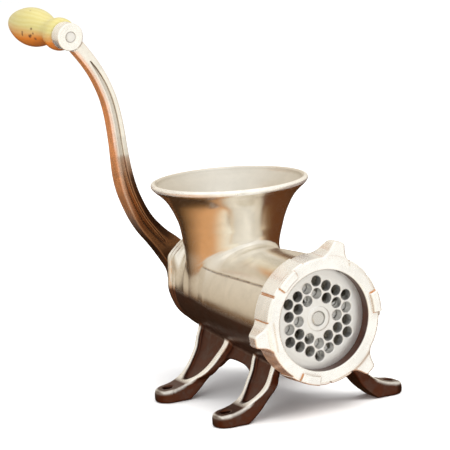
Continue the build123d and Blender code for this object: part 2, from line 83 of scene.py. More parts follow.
class Outline:
    """Signed distance to a closed 2-D outline, kept as a table. Negative inside."""

    def __init__(self, pts, pad=24.0, step=0.5):
        p = np.array(pts, float)
        self.lo = p.min(0) - pad
        n = np.ceil((p.max(0) + pad - self.lo) / step).astype(int) + 1
        self.step = step
        u = self.lo[0] + np.arange(n[0])[:, None] * step
        v = self.lo[1] + np.arange(n[1])[None, :] * step
        d2 = np.full((n[0], n[1]), 1e9)
        odd = np.zeros((n[0], n[1]), bool)
        for a, b in zip(p, np.roll(p, -1, 0)):
            e = b - a
            L = e @ e
            if L < 1e-12:
                continue
            t = np.clip(((u - a[0]) * e[0] + (v - a[1]) * e[1]) / L, 0, 1)
            d2 = np.minimum(d2, (u - a[0] - t * e[0]) ** 2 + (v - a[1] - t * e[1]) ** 2)
            if a[1] != b[1]:
                cross = a[0] + (v - a[1]) * e[0] / e[1]
                odd ^= ((a[1] > v) != (b[1] > v)) & (u < cross)
        self.t = (np.sqrt(d2) * np.where(odd, -1, 1)).astype(F)
        self.n = n

    def __call__(self, u, v):
        a = (u - self.lo[0]) / self.step
        b = (v - self.lo[1]) / self.step
        ac = np.clip(a, 0, self.n[0] - 1.001)
        bc = np.clip(b, 0, self.n[1] - 1.001)
        i = ac.astype(np.int32)
        j = bc.astype(np.int32)
        fa = (ac - i).astype(F)
        fb = (bc - j).astype(F)
        t = self.t
        d = (t[i, j] * (1 - fa) + t[i + 1, j] * fa) * (1 - fb) + (t[i, j + 1] * (1 - fa) + t[i + 1, j + 1] * fa) * fb
        over = np.hypot(a - ac, b - bc) * self.step
        return d + over.astype(F)


def mirrored(pts):
    """Profile (along, radius) that ends on the axis, closed by its mirror image."""
    return list(pts) + [(a, -r) for a, r in pts[::-1]]


def surface(fn, lo, hi, h, passes=3):
    """Mesh of fn = 0 by surface nets on a grid of step h, then drawn onto the field."""
    lo = np.array(lo, float)
    n = np.ceil((np.array(hi, float) - lo) / h).astype(int) + 1
    B = 8
    nb = -(-n // B)
    cen = [lo[a] + (np.arange(nb[a]) * B + (B - 1) / 2) * h for a in range(3)]
    cx, cy, cz = np.meshgrid(*cen, indexing="ij")
    fc = fn(cx.ravel().astype(F), cy.ravel().astype(F), cz.ravel().astype(F)).reshape(nb)
    near = np.abs(fc) < (B / 2 + 1) * h * 1.75 * 1.15 + 1.5
    f = np.repeat(np.repeat(np.repeat(fc, B, 0), B, 1), B, 2).astype(F)
    blocks = np.argwhere(near)
    off = np.stack(np.meshgrid(*[np.arange(B)] * 3, indexing="ij"), -1).reshape(-1, 3)
    for s in range(0, len(blocks), 1200):
        ijk = (blocks[s:s + 1200, None, :] * B + off[None]).reshape(-1, 3)
        p = (lo + ijk * h).astype(F)
        f[ijk[:, 0], ijk[:, 1], ijk[:, 2]] = fn(p[:, 0], p[:, 1], p[:, 2])
    s = f < 0
    m = s.shape
    cnt = np.zeros((m[0] - 1, m[1] - 1, m[2] - 1), np.int8)
    for d in np.ndindex(2, 2, 2):
        cnt += s[d[0]:m[0] - 1 + d[0], d[1]:m[1] - 1 + d[1], d[2]:m[2] - 1 + d[2]]
    act = (cnt > 0) & (cnt < 8)
    cells = np.argwhere(act)
    idx = np.full(act.shape, -1, np.int32)
    idx[act] = np.arange(len(cells))
    corner = {d: f[cells[:, 0] + d[0], cells[:, 1] + d[1], cells[:, 2] + d[2]] for d in np.ndindex(2, 2, 2)}
    acc = np.zeros((len(cells), 3))
    num = np.zeros(len(cells))
    for d in corner:
        for ax in range(3):
            if d[ax]:
                continue
            e = list(d)
            e[ax] = 1
            a, b = corner[d], corner[tuple(e)]
            hit = (a < 0) != (b < 0)
            t = np.where(hit, a / np.where(hit, a - b, 1), 0)
            q = np.tile(np.array(d, float), (len(cells), 1))
            q[:, ax] = t
            acc += q * hit[:, None]
            num += hit
    verts = lo + (cells + acc / num[:, None]) * h
    quads = []
    for ax in range(3):
        o1, o2 = (ax + 1) % 3, (ax + 2) % 3
        sl0 = [slice(None)] * 3
        sl1 = [slice(None)] * 3
        sl0[ax] = slice(0, -1)
        sl1[ax] = slice(1, None)
        change = s[tuple(sl0)] != s[tuple(sl1)]
        e = np.argwhere(change)
        keep = (e[:, o1] > 0) & (e[:, o2] > 0) & (e[:, o1] < m[o1] - 1) & (e[:, o2] < m[o2] - 1)
        e = e[keep]
        inside = s[e[:, 0], e[:, 1], e[:, 2]]
        c = []
        for a, b in ((0, 0), (-1, 0), (-1, -1), (0, -1)):
            q = e.copy()
            q[:, o1] += a
            q[:, o2] += b
            c.append(idx[q[:, 0], q[:, 1], q[:, 2]])
        c = np.stack(c, 1)
        c[~inside] = c[~inside][:, ::-1]
        quads.append(c)
    quads = np.concatenate(quads)
    verts = verts.astype(F)
    dirs = np.array([(1, -1, -1), (-1, -1, 1), (-1, 1, -1), (1, 1, 1)], F)
    eps = F(h * 0.35)
    for _ in range(passes):
        g = np.zeros_like(verts)
        val = fn(verts[:, 0], verts[:, 1], verts[:, 2])
        for d in dirs:
            q = verts + d * eps
            g += d * fn(q[:, 0], q[:, 1], q[:, 2])[:, None]
        g /= 4 * eps
        gg = np.maximum((g * g).sum(1), 0.25)
        move = -(val / gg)[:, None] * g
        L = np.linalg.norm(move, axis=1, keepdims=True)
        verts = verts + move * np.minimum(1, 0.5 * h / np.maximum(L, 1e-6))
    return verts, quads


def normals(verts, quads):
    v = np.asarray(verts, np.float64)
    q = np.asarray(quads, np.int64)
    fn = np.cross(v[q[:, 2]] - v[q[:, 0]], v[q[:, 3]] - v[q[:, 1]])
    n = np.zeros_like(v)
    for k in range(4):
        for c in range(3):
            n[:, c] += np.bincount(q[:, k], fn[:, c], len(v))
    return n / np.maximum(np.linalg.norm(n, axis=1, keepdims=True), 1e-12)


def convexity(verts, quads, spread=2):
    """Mean curvature of a quad mesh at its points, 1/mm; positive on outward edges."""
    v = np.asarray(verts, np.float64)
    q = np.asarray(quads, np.int64)
    n = normals(v, q)
    a = np.concatenate([q[:, 0], q[:, 1], q[:, 2], q[:, 3]])
    b = np.concatenate([q[:, 1], q[:, 2], q[:, 3], q[:, 0]])
    e = v[b] - v[a]
    k = ((n[b] - n[a]) * e).sum(1) / np.maximum((e * e).sum(1), 0.02)
    deg = np.maximum(np.bincount(a, minlength=len(v)) + np.bincount(b, minlength=len(v)), 1)
    c = (np.bincount(a, k, len(v)) + np.bincount(b, k, len(v))) / deg
    for _ in range(spread):
        c = 0.5 * c + 0.5 * (np.bincount(a, c[b], len(v)) + np.bincount(b, c[a], len(v))) / deg
    return c


def add_mesh(name, verts_mm, faces, material, smooth=True, marks=None):
    me = bpy.data.meshes.new(name)
    v = (np.asarray(verts_mm, np.float64) * 0.001).astype(F)
    me.vertices.add(len(v))
    me.vertices.foreach_set("co", v.ravel())
    fa = np.asarray(faces, np.int32)
    k = fa.shape[1]
    me.loops.add(fa.size)
    me.loops.foreach_set("vertex_index", fa.ravel())
    me.polygons.add(len(fa))
    me.polygons.foreach_set("loop_start", np.arange(0, fa.size, k, dtype=np.int32))
    me.update(calc_edges=True)
    me.validate()
    if smooth:
        me.polygons.foreach_set("use_smooth", np.ones(len(me.polygons), bool))
    for key, values in (marks or {}).items():
        at = me.attributes.new(key, "FLOAT", "POINT")
        at.data.foreach_set("value", np.asarray(values, F))
    me.materials.append(material)
    ob = bpy.data.objects.new(name, me)
    bpy.context.scene.collection.objects.link(ob)
    return ob


# ------------------------------------------------------------------ materials
def new_mat(name):
    m = bpy.data.materials.new(name)
    m.use_nodes = True
    nt = m.node_tree
    bsdf = next(n for n in nt.nodes if n.type == "BSDF_PRINCIPLED")
    return m, nt, bsdf


def noise(nt, vec, scale, detail=4.0, rough=0.55, dist=0.0):
    n = nt.nodes.new("ShaderNodeTexNoise")
    n.inputs["Scale"].default_value = scale
    n.inputs["Detail"].default_value = detail
    n.inputs["Roughness"].default_value = rough
    n.inputs["Distortion"].default_value = dist
    nt.links.new(vec, n.inputs["Vector"])
    return n.outputs["Fac"]


def ramp(nt, fac, stops):
    r = nt.nodes.new("ShaderNodeValToRGB")
    while len(r.color_ramp.elements) < len(stops):
        r.color_ramp.elements.new(0.5)
    for e, (p, c) in zip(r.color_ramp.elements, stops):
        e.position = p
        e.color = (*c, 1) if len(c) == 3 else c
    nt.links.new(fac, r.inputs["Fac"])
    return r.outputs["Color"]


def math_node(nt, op, a, b=None, clamp=False):
    n = nt.nodes.new("ShaderNodeMath")
    n.operation = op
    n.use_clamp = clamp
    for s, v in zip(n.inputs, (a, b)):
        if v is None:
            continue
        if isinstance(v, (int, float)):
            s.default_value = v
        else:
            nt.links.new(v, s)
    return n.outputs[0]


def remap(nt, v, a, b, c, d):
    n = nt.nodes.new("ShaderNodeMapRange")
    n.clamp = True
    for s, x in zip(("From Min", "From Max", "To Min", "To Max"), (a, b, c, d)):
        n.inputs[s].default_value = x
    nt.links.new(v, n.inputs["Value"])
    return n.outputs["Result"]


def mix(nt, fac, a, b, blend="MIX"):
    n = nt.nodes.new("ShaderNodeMix")
    n.data_type = "RGBA"
    n.blend_type = blend
    n.clamp_factor = True
    fa = next(s for s in n.inputs if s.identifier == "Factor_Float")
    ca = next(s for s in n.inputs if s.identifier == "A_Color")
    cb = next(s for s in n.inputs if s.identifier == "B_Color")
    for s, v in ((fa, fac), (ca, a), (cb, b)):
        if isinstance(v, (int, float)):
            s.default_value = v
        elif isinstance(v, tuple):
            s.default_value = (*v, 1)
        else:
            nt.links.new(v, s)
    return next(s for s in n.outputs if s.identifier == "Result_Color")


def coords(nt):
    return nt.nodes.new("ShaderNodeTexCoord").outputs["Object"]


def bump(nt, height, strength, dist, normal=None):
    b = nt.nodes.new("ShaderNodeBump")
    b.inputs["Strength"].default_value = strength
    b.inputs["Distance"].default_value = dist
    nt.links.new(height, b.inputs["Height"])
    if normal is not None:
        nt.links.new(normal, b.inputs["Normal"])
    return b.outputs["Normal"]


def tinned(name, tone, dark, rough=(0.15, 0.24), grain=0.10, hollow_shade=0.6, layers=(), metal=1.0, crease=0.004, speck=0.30):
    """Tin-plated casting: bright metal, fine cast grain, cloudy tin, and painted shade that darkens hollows by ambient
    occlusion.
    Each layer (mark, colour, added roughness, metal, and how far the colour varies) lies
    where the mesh carries that mark; the marks carry painted shade, reflections and highlights."""
    m, nt, bsdf = new_mat(name)
    co = coords(nt)
    cloud = noise(nt, co, 42, 5, 0.6, 0.4)
    fine = noise(nt, co, 700, 4, 0.6)
    pits = noise(nt, co, 1700, 2, 0.5)
    blot = noise(nt, co, 95, 5, 0.62, 0.6)
    col = ramp(nt, cloud, [(0.30, tuple(c * 0.90 for c in tone)), (0.52, tone), (0.72, tuple(min(1, c * 1.06) for c in tone))])
    col = mix(nt, remap(nt, fine, 0.62, 0.80, 0.0, speck), col, dark)
    # Painted shade: ambient occlusion darkens hollows and creases towards the dark colour.
    ao = nt.nodes.new("ShaderNodeAmbientOcclusion")
    ao.samples = 8
    ao.inputs["Distance"].default_value = crease
    hollow = remap(nt, ao.outputs["AO"], 0.30, 0.90, hollow_shade, 0.0)
    col = mix(nt, hollow, col, dark)
    r = math_node(nt, "ADD", remap(nt, cloud, 0.3, 0.7, rough[1], rough[0]), remap(nt, fine, 0.45, 0.75, 0.0, 0.08))
    shine = None
    for mark, tint, add, mt, *spread in layers:
        lo, hi = spread or (0.72, 1.35)
        at = nt.nodes.new("ShaderNodeAttribute")
        at.attribute_name = mark
        p = math_node(nt, "MULTIPLY", at.outputs["Fac"], remap(nt, blot, 0.30, 0.55, 0.965, 1.0), clamp=True)
        stain = ramp(nt, blot, [(0.30, tuple(c * lo for c in tint)), (0.52, tint), (0.75, tuple(min(1, c * hi) for c in tint))])
        col = mix(nt, p, col, stain)
        r = math_node(nt, "ADD", r, math_node(nt, "MULTIPLY", p, add))
        if mt != metal:
            drop = math_node(nt, "MULTIPLY", p, mt - metal)
            shine = drop if shine is None else math_node(nt, "ADD", shine, drop)
    nt.links.new(col, bsdf.inputs["Base Color"])
    if shine is None:
        bsdf.inputs["Metallic"].default_value = metal
    else:
        nt.links.new(math_node(nt, "ADD", shine, metal, clamp=True), bsdf.inputs["Metallic"])
    nt.links.new(r, bsdf.inputs["Roughness"])
    h = math_node(nt, "ADD", math_node(nt, "MULTIPLY", fine, 0.7), math_node(nt, "MULTIPLY", pits, 0.3))
    nt.links.new(bump(nt, h, grain, 0.0006), bsdf.inputs["Normal"])
    return m


def steel(name, tone, rough, radial=None, scale=900, metal=1.0):
    """Machined steel; radial gives the centre (y, z) of turning marks about an X axis."""
    m, nt, bsdf = new_mat(name)
    co = coords(nt)
    cloud = noise(nt, co, 60, 4, 0.6)
    if radial is not None:
        sep = nt.nodes.new("ShaderNodeSeparateXYZ")
        nt.links.new(co, sep.inputs[0])
        dy = math_node(nt, "SUBTRACT", sep.outputs["Y"], radial[0])
        dz = math_node(nt, "SUBTRACT", sep.outputs["Z"], radial[1])
        rr = math_node(nt, "SQRT", math_node(nt, "ADD", math_node(nt, "MULTIPLY", dy, dy), math_node(nt, "MULTIPLY", dz, dz)))
        comb = nt.nodes.new("ShaderNodeCombineXYZ")
        nt.links.new(rr, comb.inputs[0])
        nt.links.new(math_node(nt, "MULTIPLY", sep.outputs["X"], 0.05), comb.inputs[1])
        marks = noise(nt, comb.outputs[0], 2600, 3, 0.6)
    else:
        marks = noise(nt, co, scale, 3, 0.6)
    col = ramp(nt, cloud, [(0.3, tuple(c * 0.9 for c in tone)), (0.7, tone)])
    col = mix(nt, remap(nt, marks, 0.55, 0.8, 0, 0.35), col, tuple(c * 0.6 for c in tone))
    nt.links.new(col, bsdf.inputs["Base Color"])
    bsdf.inputs["Metallic"].default_value = metal
    nt.links.new(math_node(nt, "ADD", remap(nt, marks, 0.3, 0.7, rough * 0.8, rough * 1.2), remap(nt, cloud, 0.4, 0.7, 0, 0.08)), bsdf.inputs["Roughness"])
    nt.links.new(bump(nt, marks, 0.08, 0.0003), bsdf.inputs["Normal"])
    return m


def wood(name):
    """Turned pale wood under clear lacquer: soft grain along X, small knots, and painted shade that turns it
    orange-brown below.
    """
    m, nt, bsdf = new_mat(name)
    co = coords(nt)
    mp = nt.nodes.new("ShaderNodeMapping")
    mp.inputs["Location"].default_value = (0.0, 0.128, -0.318)
    nt.links.new(co, mp.inputs["Vector"])
    st = nt.nodes.new("ShaderNodeMapping")
    st.inputs["Scale"].default_value = (0.10, 1.0, 1.0)
    nt.links.new(mp.outputs[0], st.inputs["Vector"])
    warp = noise(nt, st.outputs[0], 60, 4, 0.55, 0.5)
    wave = nt.nodes.new("ShaderNodeTexWave")
    wave.wave_type = "RINGS"
    wave.rings_direction = "X"
    wave.inputs["Scale"].default_value = 80
    wave.inputs["Distortion"].default_value = 4.5
    wave.inputs["Detail"].default_value = 3
    wave.inputs["Detail Scale"].default_value = 1.2
    nt.links.new(st.outputs[0], wave.inputs["Vector"])
    st2 = nt.nodes.new("ShaderNodeMapping")
    st2.inputs["Scale"].default_value = (0.035, 1.0, 1.0)
    nt.links.new(mp.outputs[0], st2.inputs["Vector"])
    fibre = noise(nt, st2.outputs[0], 1300, 4, 0.65)
    base = ramp(nt, wave.outputs["Fac"], [(0.0, (0.440, 0.385, 0.140)), (0.5, (0.455, 0.405, 0.160)), (1.0, (0.470, 0.425, 0.180))])
    base = mix(nt, remap(nt, fibre, 0.52, 0.74, 0, 0.30), base, (0.36, 0.25, 0.08))
    base = mix(nt, remap(nt, warp, 0.45, 0.70, 0, 0.30), base, (0.46, 0.34, 0.11))
    # Painted shade: the underside of the grip turns orange-brown, darker further down.
    underside_shade = nt.nodes.new("ShaderNodeAttribute")
    underside_shade.attribute_name = "underside_shade"
    patch = math_node(nt, "MULTIPLY", underside_shade.outputs["Fac"], remap(nt, warp, 0.30, 0.62, 0.75, 1.0), clamp=True)
    base = mix(nt, patch, base, (0.455, 0.128, 0.006))
    base = mix(nt, remap(nt, underside_shade.outputs["Fac"], 1.15, 1.85, 0.0, 0.75), base, (0.20, 0.050, 0.004))
    spot = nt.nodes.new("ShaderNodeAttribute")
    spot.attribute_name = "knot"
    base = mix(nt, math_node(nt, "MULTIPLY", spot.outputs["Fac"], 0.95, clamp=True), base, (0.060, 0.022, 0.008))
    nt.links.new(base, bsdf.inputs["Base Color"])
    nt.links.new(remap(nt, fibre, 0.3, 0.7, 0.34, 0.46), bsdf.inputs["Roughness"])
    bsdf.inputs["Coat Weight"].default_value = 0.22
    bsdf.inputs["Specular IOR Level"].default_value = 0.35
    bsdf.inputs["Coat Roughness"].default_value = 0.14
    nt.links.new(bump(nt, fibre, 0.10, 0.0004), bsdf.inputs["Normal"])
    return m


TIN_WARM = (0.88, 0.85, 0.79)
TIN_WHITE = (0.93, 0.925, 0.905)
DARK = (0.16, 0.08, 0.04)
# Painted highlight: surfaces carrying the bright mark turn whiter, rougher and less metallic.
PAINTED_HIGHLIGHT = ("bright", (0.93, 0.92, 0.88), 0.08, 0.80, 0.90, 1.06)
# Body layers: a darker, duller tone as painted shade inside; near-black brown as painted dark reflection on the legs
# and under the barrel, with a darker seam line; then the painted highlight.
M_BODY = tinned("tinned_casting_body", TIN_WARM, DARK, hollow_shade=0.75, layers=(("inside", (0.72, 0.69, 0.63), 0.14, 0.95, 0.95, 1.04), ("patina", (0.074, 0.023, 0.011), 0.12, 0.93), PAINTED_HIGHLIGHT))
# Ring layers: near-black as painted shade in the bore; orange-brown as painted shade in the outside steps and as
# painted reflection on the downward-facing outside; then the painted highlight.
M_RING = tinned("tinned_casting_ring", TIN_WHITE, (0.34, 0.18, 0.09), rough=(0.20, 0.30), hollow_shade=0.8, metal=0.88, speck=0.12,
                layers=(("patina", (0.075, 0.026, 0.016), 0.10, 0.9), ("rust", (0.50, 0.225, 0.085), 0.05, 0.60), PAINTED_HIGHLIGHT))
# Crank layers: copper-orange as painted reflection on the flanks; brown as painted shade on the lower arm; near-black
# as painted shade in the groove, on the right ridge and near the hub; then the painted highlight.
M_ARM = tinned("tinned_casting_crank", (0.90, 0.87, 0.80), DARK, rough=(0.14, 0.22), hollow_shade=0.8, metal=0.9,
               layers=(("copper", (0.57, 0.225, 0.080), 0.06, 0.40), ("patina", (0.345, 0.155, 0.060), 0.06, 0.85), ("soot", (0.055, 0.024, 0.012), 0.06, 0.90), PAINTED_HIGHLIGHT))
M_AUGER = tinned("tinned_casting_auger", (0.72, 0.70, 0.66), DARK, rough=(0.26, 0.40))
M_PLATE = steel("plate_steel_ground", (0.84, 0.84, 0.83), 0.36, radial=(0.0, 0.088), metal=0.85)
M_KNIFE = steel("knife_steel", (0.70, 0.70, 0.70), 0.25)
M_STEEL = steel("small_steel", (0.72, 0.71, 0.69), 0.25)
M_BRONZE = steel("bush_bronze", (0.70, 0.47, 0.22), 0.30, radial=(0.0, 0.088))
M_PIN = steel("pin_steel", (0.90, 0.89, 0.87), 0.30, radial=(GRIP_Y * 0.001, (AXIS_Z + GRIP_Z) * 0.001), metal=0.9)
M_WOOD = wood("turned_wood")


def plain(name, tone, rough):
    m, nt, bsdf = new_mat(name)
    co = coords(nt)
    f = noise(nt, co, 700, 4, 0.6)
    nt.links.new(ramp(nt, f, [(0.35, tuple(c * 0.88 for c in tone)), (0.65, tone)]), bsdf.inputs["Base Color"])
    bsdf.inputs["Roughness"].default_value = rough
    nt.links.new(bump(nt, f, 0.1, 0.0003), bsdf.inputs["Normal"])
    return m


M_FIBRE = plain("thrust_fibre", (0.72, 0.66, 0.52), 0.6)

# ------------------------------------------------------------------ body casting
barrel_curve = curve([(-126.0, 24.0), (-126.0, 30.0), (-127.6, 33.0), (-128.7, 35.6), (-128.4, 37.4), (-127.2, 38.6), (-125.6, 38.9), (-124.4, 38.1), (-123.6, 37.6), (-122.7, 38.2),
                      (-121.4, 39.3), (-119.8, 39.6), (-118.6, 38.8), (-117.8, 38.5), (-116.8, 39.3), (-113.0, 40.9), (-108.0, 41.7), (-101.0, 42.3), (HOPPER_X, 44.4), (-6.4, 49.6), (59.0, 53.2)], 5)
barrel_pts = [(-132.0, 0.0), (-132.0, 18.6), (-131.4, 19.9), (-130.2, 20.5), (-126.0, 20.7)] + barrel_curve + [(66.6, 53.2), (67.0, 52.8)]
for i in range(2):
    g = 67.0 + 1.4 + 4.0 * i
    barrel_pts += [(g, 52.9), (g + 1.0, 51.8), (g + 1.8, 51.8), (g + 2.8, 52.9)]
barrel_pts += [(77.5, 52.9), (78.0, 52.4), (78.0, 0.0)]
T_BARREL = Outline(mirrored(barrel_pts))
T_CROWN = Outline([(-131.2, 30.0), (-131.2, 46.4), (-130.7, 48.1), (-129.4, 48.9), (-128.2, 48.3), (-127.3, 46.9), (-126.4, 47.8), (-125.3, 48.4), (-124.2, 47.8), (-123.3, 46.4), (-122.3, 47.1),
                   (-121.2, 47.5), (-119.8, 46.9), (-118.0, 45.3), (-115.0, 43.0), (-112.0, 41.0), (-112.0, 30.0)])
CROWN_HALF = 39.8
T_CHAMBER = Outline(mirrored([(-140.0, 0), (-140.0, 15.0), (-117.0, 15.0), (-117.0, 35.0), (54.6, 47.0), (71.0, 47.0), (71.0, 49.7), (90.0, 49.7), (90.0, 0)]))
RIM_TOP = 194.4
hop_out = curve([(NECK_R - 0.9, 100.0), (NECK_R - 0.4, 116.0), (NECK_R, 130.0), (45.3, 137.0), (47.0, 146.0), (49.2, 155.0), (52.0, 162.5), (55.5, 170.0), (59.0, 176.0), (62.2, 180.0), (66.2, 184.0), (69.8, 187.0), (72.2, 189.5)], 6)
hop_side = [(NECK_R - 1.2, 88.0)] + hop_out + [(72.9, 190.6), (73.2, 191.9), (73.0, 193.1), (72.2, 194.0), (71.0, RIM_TOP), (69.4, RIM_TOP), (0, RIM_TOP)]
T_HOPPER = Outline(hop_side + [(-r, z) for r, z in hop_side[::-1]])
hop_in = curve([(THROAT_R, 100.0), (THROAT_R, 130.0), (39.2, 138.0), (41.0, 147.0), (43.2, 156.0), (47.2, 167.0), (52.2, 176.0), (58.4, 183.4), (64.4, 188.4), (67.4, 192.0), (68.4, 200.0)], 6)
T_HOPIN = Outline([(THROAT_R, 88.0)] + hop_in + [(0, 200.0)] + [(-r, z) for r, z in ([(THROAT_R, 88.0)] + hop_in)[::-1]])

OUTER = curve([(35.4, 70.0), (35.5, 61.0), (36.3, 56.0), (38.3, 50.0), (41.9, 42.0), (45.3, 37.0), (50.8, 31.0), (56.0, 26.0), (61.5, 21.8),
               (67.6, 18.0), (74.3, 15.0), (81.5, 13.0), (88.5, 12.0), (94.0, 10.8)], 5)
INNER = curve([(67.5, 0.0), (60.5, 5.2), (53.0, 12.0), (48.2, 18.0), (44.4, 23.5), (40.6, 29.0), (36.8, 34.5), (33.4, 40.0), (31.0, 46.0), (29.5, 54.0), (29.0, 70.0)], 5)
T_BAND = Outline(OUTER + [(96.8, 8.4), (97.6, 6.0), (97.6, 1.2), (96.6, 0.0)] + INNER)
T_WEBBAND = Outline(curve([(32.4, 70.0), (32.6, 56.0), (34.3, 47.0), (38.0, 39.0), (43.0, 31.5), (49.0, 25.0)], 5)
                    + curve([(36.0, 25.0), (32.0, 31.0), (29.6, 36.0), (26.6, 46.0), (26.0, 70.0)], 5))


def shifted(pts, d):
    p = np.array(pts)
    t = np.gradient(p, axis=0)
    t /= np.linalg.norm(t, axis=1, keepdims=True)
    return [tuple(q) for q in p + d * np.stack([t[:, 1], -t[:, 0]], 1)]


PANEL = shifted(OUTER, 3.0)
T_RECESS = Outline(PANEL + [(130, PANEL[-1][1]), (130, 110), (PANEL[0][0], 110)], pad=60)
T_REARLEG = Outline(curve([(-82.3, 72), (-82.5, 60), (-83.2, 49), (-79, 38), (-75, 30), (-71, 23.6), (-68.4, 18.6), (-67.5, 14)], 4) + [(-67.5, -6), (-42.5, -6)]
                    + curve([(-42.2, 14), (-39.6, 18.8), (-35.5, 22), (-32.8, 25.8), (-30.6, 30.7), (-28.2, 40), (-23.4, 48), (-21.8, 55), (-21.8, 72)], 4))
T_FRONTLEG = Outline(curve([(23.5, 72), (23.5, 54.6), (24.5, 44), (29.5, 34), (33.5, 28), (38.4, 22.8), (41.8, 18), (42.5, 14)], 4) + [(42.5, -6), (67.5, -6)]
                     + curve([(67.5, 14), (68.4, 19.3), (70.6, 25), (71.6, 29.5), (70.8, 33.5), (68.2, 37.5), (66.6, 41), (66.3, 46), (66.3, 72)], 4))
T_REARPANEL = Outline(curve([(-76.3, 84), (-76.6, 60), (-77.2, 49), (-73, 38), (-69, 30), (-65, 23.6), (-61.4, 19.8), (-56.6, 17.2)], 4)
                      + curve([(-52.6, 17.4), (-48, 19.2), (-44, 22), (-41.3, 25.8), (-39, 30.7), (-36.6, 40), (-31.4, 49), (-30, 56), (-30, 84)], 4))
T_FRONTPANEL = Outline(curve([(29.5, 84), (29.5, 54.6), (30.5, 44), (35.5, 34), (39.5, 28), (44.4, 23), (51.4, 17.6)], 4)
                       + curve([(56.4, 17.4), (60.8, 20), (63.2, 25), (64.0, 29.5), (63.4, 33.4), (61.6, 37), (60, 41), (59.4, 46), (59.4, 84)], 4))
T_WEB = Outline([(-60, 72), (-60, 46)] + curve([(-46, 22), (-38.5, 27), (-33, 33), (-26, 36.4), (-16, 38), (0, 38), (12, 36.6), (22, 33), (30, 27.5), (38, 22)], 4)
                + [(50, 46), (50, 72)])


SADDLE = math.radians(37.6)


def side_fields(x, ay, z):
    """Legs and web of one side, and the recessed panels cut into them."""
    band = T_BAND(ay, z)
    rec = T_RECESS(ay, z)
    d_tip = np.minimum(ay - FOOT_TIP_Y, np.minimum(np.hypot(x - LEG_X, ay - FOOT_TIP_Y), np.hypot(x + LEG_X, ay - FOOT_TIP_Y)) - FOOT_HALF)
    leg = smax(band, np.maximum(np.minimum(T_REARLEG(x, z), T_FRONTLEG(x, z)), d_tip), 3.2)
    cut = smax(np.minimum(T_REARPANEL(x, z), T_FRONTPANEL(x, z)), rec, 1.2)
    web = smax(T_WEBBAND(ay, z), T_WEB(x, z), 3.0)
    return leg, cut, web, rec


def mouth_height(x, z):
    """Height in the hopper's own frame: its mouth leans back a little."""
    return z - 0.022 * (x - HOPPER_X) * np.clip((z - 150.0) / 40.0, 0, 1)


def casting(x, y, z):
    zc = z - AXIS_Z
    rb = np.hypot(y, zc)
    ay = np.abs(y)
    rh = np.hypot(x - HOPPER_X, y)
    zh = mouth_height(x, z)
    # the saddle under the hopper runs forward as a slightly raised strip
    arc = (np.arctan2(zc, ay) - SADDLE) * rb
    along = np.clip((x + 60.0) / 5.0, 0, 1) * np.clip((66.4 - x) / 0.8, 0, 1)
    raised = along * (0.55 * np.clip(arc / 0.9 + 0.5, 0, 1) - 0.55 * np.clip(1 - np.abs(arc + 0.9) / 0.9, 0, 1))
    barrel = T_BARREL(x, rb - raised)
    # flat-sided rear flange: a proud rim behind, a step in front of it
    limit = CROWN_HALF - 0.2 + 0.05 * (12.0 - np.maximum(zc, 0)) - 1.5 * np.clip(-zc / 14.0, 0, 1) - 1.9 * np.clip((x + 126.8) / 1.6, 0, 1)
    crown = smax(T_CROWN(x, rb), np.where(zc > 0, ay, rb) - limit, 2.2)
    lip = 0.14 * np.clip(1 - np.abs(barrel - 7.2) / 1.2, 0, 1) * np.clip((x + 64.0) / 10.0, 0, 1) * (z > AXIS_Z)
    outer = smin(smin(barrel, crown, 1.6), T_HOPPER(np.hypot(x - HOPPER_X + 1.9 * np.clip((152.0 - z) / 16.0, 0, 1), y), zh) - lip, 5.0 + 6.0 * np.clip((np.abs(x - HOPPER_X) - 10.0) / 10.0, 0, 1))
    leg, cut, web, _ = side_fields(x, ay, z)
    leg = smax(leg, -cut, 1.4)
    outer = smin(outer, smin(leg, web, 3.0), 2.6)
    inner = smin(T_CHAMBER(x, rb), T_HOPIN(rh, zh), 2.0)
    f = smax(outer, -inner, 1.4)
    hole = np.hypot(np.abs(x) - LEG_X, ay - LEG_Y) - 4.5
    f = smax(f, -hole, 1.2)
    clear = np.maximum(np.maximum(66.9 + np.maximum(rb - 62.0, 0) - x, 53.0 - rb), rb - 73.6)
    f = smax(f, -clear, 1.0)
    return np.maximum(f, -z)


v, q = surface(casting, (-149, -101, -3), (84, 101, 200), 0.95)
vx, vy, vz = v[:, 0], np.abs(v[:, 1]), v[:, 2]
leg, cut, web, rec = side_fields(vx, vy, vz)
rb = np.hypot(vy, vz - AXIS_Z)
edge = np.clip((convexity(v, q) - 0.05) / 0.16, 0, 1)
# Painted reflection: the legs' panels, sides and feet are darkened brown as if mirroring a dark table; crest keeps the
# leg ribs out of it.
off = np.clip((rb - np.interp(vx, [-71, -6.4, 59], [44.4, 49.6, 53.2]) - 0.6) / 2.0, 0, 1) * (vz < 70)
tongue = np.clip((vy - 66) / 7, 0, 1)
plan = np.minimum(T_REARLEG(vx, vz), T_FRONTLEG(vx, vz))
crest = off * np.clip((-rec - 1.9) / 0.7, 0, 1) * np.clip((cut + 0.1) / 0.8, 0, 1) * (1 - tongue) * np.clip((0.9 - plan) / 0.8, 0, 1) * np.clip((61 - vz) / 4, 0, 1)
legs = off * (1 - crest)
turn = np.arctan2(vz - AXIS_Z, vy)
vh = mouth_height(vx, vz)
inner = smin(T_CHAMBER(vx, rb), T_HOPIN(np.hypot(vx - HOPPER_X, vy), vh), 2.0)
# Painted shade: the insides of the hopper and chamber, with the rim's inner rounding, get a darker, duller tone.
inside = np.clip((1.6 - np.abs(inner)) / 0.8, 0, 1) * np.clip((194.0 - vh) / 0.8, 0, 1)
